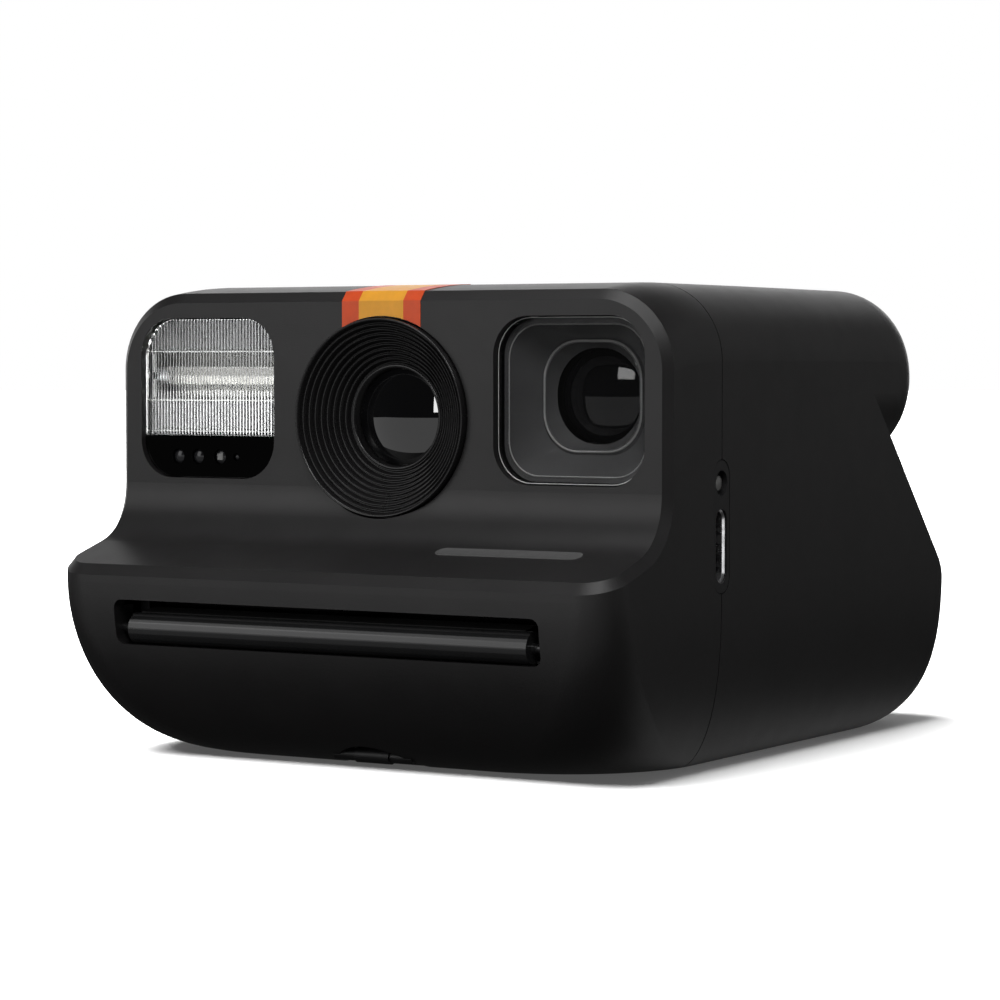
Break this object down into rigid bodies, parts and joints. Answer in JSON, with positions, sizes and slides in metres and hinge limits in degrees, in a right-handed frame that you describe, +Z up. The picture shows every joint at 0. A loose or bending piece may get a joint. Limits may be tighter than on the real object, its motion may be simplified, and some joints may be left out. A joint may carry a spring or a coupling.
{
  "type": "instant camera",
  "caption": "Compact instant film camera with ribbed lens, window flash, direct viewfinder, front film slot, spread rollers and a hinged rear film door.",
  "frame": {"origin": "centre of the underside, on the surface the camera stands on", "axes": "+X to the right seen from the front, +Y to the rear with the lens facing -Y, +Z up; millimetre sizes in the model, metres in the row"},
  "size_m": [0.084, 0.105, 0.0618],
  "materials": {
    "case_black": "satin fine texture",
    "door_latch_grey": "satin",
    "ring_black": "semi-gloss",
    "trim_black": "satin",
    "funnel_grey": "semi-clear grey",
    "steel": "satin",
    "blade_steel": "blackened",
    "lens_glass": "coated glass",
    "clear_window": "clear moulded plastic",
    "flash_metal": "bright",
    "tube_glass": "clear",
    "sensor_gloss": "dark gloss",
    "sensor_lens": "gloss",
    "mirror": "front-silvered",
    "chamber_black": "matte",
    "solenoid": "satin",
    "button_black": "satin",
    "button_accent": "semi-gloss",
    "display": "dark gloss",
    "board_green": "solder mask",
    "light_pipe": "milky",
    "shield": "glossy film",
    "roller_steel": "ground",
    "frame_steel": "plated",
    "gear_white": "satin",
    "pinion_brass": "machined",
    "motor_can": "plated",
    "chassis_grey": "matte",
    "battery_blue": "wrap",
    "capacitor_dark": "sleeve",
    "accent_amber": "print",
    "accent_red": "print",
    "badge_grey": "print"
  },
  "bodies": {
    "camera_body": {"accent_middle": "accent_amber", "accent_sides": "accent_red", "badge_bar": "badge_grey", "battery": "battery_blue", "case_screws": "steel", "charge_board": "board_green", "control_board": "board_green", "dark_chamber": "chamber_black", "display_window": "display", "drive_motor": "motor_can", "eyepiece_lens": "lens_glass", "eyepiece_ring": "ring_black", "film_shield_core": "shield", "film_shield_roll": "shield", "flash_button_spring": "steel", "flash_capacitor": "capacitor_dark", "flash_reflector": "flash_metal", "flash_tube": "tube_glass", "flash_window": "clear_window", "fold_mirror": "mirror", "front_lens": "lens_glass", "front_shell": "case_black", "hinge_pins": "steel", "inner_chassis": "chassis_grey", "latch_spring": "steel", "lens_barrel": "ring_black", "lens_ring": "ring_black", "light_pipe": "light_pipe", "main_board": "board_green", "motor_bracket": "frame_steel", "pick_spring": "steel", "port_insert": "trim_black", "power_button_spring": "steel", "rear_lens": "lens_glass", "rear_shell": "case_black", "roller_frame": "frame_steel", "sensor_lenses": "sensor_lens", "sensor_window": "sensor_gloss", "shutter_button_spring": "steel", "shutter_cover": "trim_black", "shutter_plate": "trim_black", "shutter_solenoid": "solenoid", "strap_bar": "trim_black", "usb_socket": "steel", "viewfinder_funnel": "funnel_grey", "viewfinder_lens": "lens_glass", "viewfinder_tunnel": "trim_black", "viewfinder_window": "clear_window"},
    "film_door": {"film_door": "case_black"},
    "door_latch": {"door_latch": "door_latch_grey"},
    "shutter_button": {"shutter_button": "button_accent"},
    "flash_button": {"flash_button": "button_black"},
    "power_button": {"power_button": "button_black"},
    "upper_roller": {"upper_roller": "roller_steel"},
    "lower_roller": {"lower_roller": "roller_steel"},
    "idler_gear": {"idler_gear": "gear_white"},
    "motor_pinion": {"motor_pinion": "pinion_brass"},
    "film_pick": {"film_pick": "steel"},
    "shutter_blade_left": {"shutter_blade_left": "blade_steel"},
    "shutter_blade_right": {"shutter_blade_right": "blade_steel"}
  },
  "joints": [
    {"name": "film_door_hinge", "type": "hinge", "parent": "camera_body", "child": "film_door", "pos_m": [0, 0.0484, 0.0049], "axis": [-1, 0, 0], "range_deg": [0, 90]},
    {"name": "door_latch_slide", "type": "slide", "parent": "camera_body", "child": "door_latch", "axis": [0, -0.6885, 0.7252], "range_m": [0, 0.0025], "stiffness_N_per_m": 40, "springref_m": -0.002, "deforming": ["latch_spring"]},
    {"name": "shutter_button_press", "type": "slide", "parent": "camera_body", "child": "shutter_button", "axis": [0, 0, -1], "range_m": [0, 0.0008], "stiffness_N_per_m": 60, "springref_m": -0.002, "deforming": ["shutter_button_spring"]},
    {"name": "flash_button_press", "type": "slide", "parent": "camera_body", "child": "flash_button", "axis": [0, 0, -1], "range_m": [0, 0.0008], "stiffness_N_per_m": 20, "springref_m": -0.002, "deforming": ["flash_button_spring"]},
    {"name": "power_button_press", "type": "slide", "parent": "camera_body", "child": "power_button", "axis": [0, 0, -1], "range_m": [0, 0.0008], "stiffness_N_per_m": 20, "springref_m": -0.002, "deforming": ["power_button_spring"]},
    {"name": "upper_roller_spin", "type": "hinge", "parent": "camera_body", "child": "upper_roller", "pos_m": [0, -0.043, 0.0212], "axis": [1, 0, 0], "continuous": true},
    {"name": "lower_roller_spin", "type": "hinge", "parent": "camera_body", "child": "lower_roller", "pos_m": [0, -0.043, 0.0148], "axis": [1, 0, 0], "continuous": true},
    {"name": "idler_gear_spin", "type": "hinge", "parent": "camera_body", "child": "idler_gear", "pos_m": [0.033, -0.03386, 0.02225], "axis": [1, 0, 0], "continuous": true},
    {"name": "motor_pinion_spin", "type": "hinge", "parent": "camera_body", "child": "motor_pinion", "pos_m": [0.033, -0.0273, 0.0275], "axis": [1, 0, 0], "continuous": true},
    {"name": "film_pick_slide", "type": "slide", "parent": "camera_body", "child": "film_pick", "axis": [0, -1, 0], "range_m": [0, 0.008], "stiffness_N_per_m": 40, "springref_m": -0.002, "deforming": ["pick_spring"]},
    {"name": "shutter_blade_right_swing", "type": "hinge", "parent": "camera_body", "child": "shutter_blade_right", "pos_m": [0.0075, -0.0292, 0.053], "axis": [0, -1, 0], "range_deg": [0, 38], "stiffness_Nm_per_rad": 0.0001, "springref_deg": -28.65},
    {"name": "shutter_blade_left_swing", "type": "hinge", "parent": "camera_body", "child": "shutter_blade_left", "pos_m": [-0.0075, -0.0301, 0.053], "axis": [0, -1, 0], "range_deg": [-38, 0], "stiffness_Nm_per_rad": 0.0001, "springref_deg": 28.65}
  ],
  "couplings": [
    {"joint": "lower_roller_spin", "follows": "upper_roller_spin", "ratio": -1},
    {"joint": "idler_gear_spin", "follows": "upper_roller_spin", "ratio": -0.53333},
    {"joint": "motor_pinion_spin", "follows": "upper_roller_spin", "ratio": 1.3333},
    {"joint": "shutter_blade_left_swing", "follows": "shutter_blade_right_swing", "ratio": -1}
  ]
}
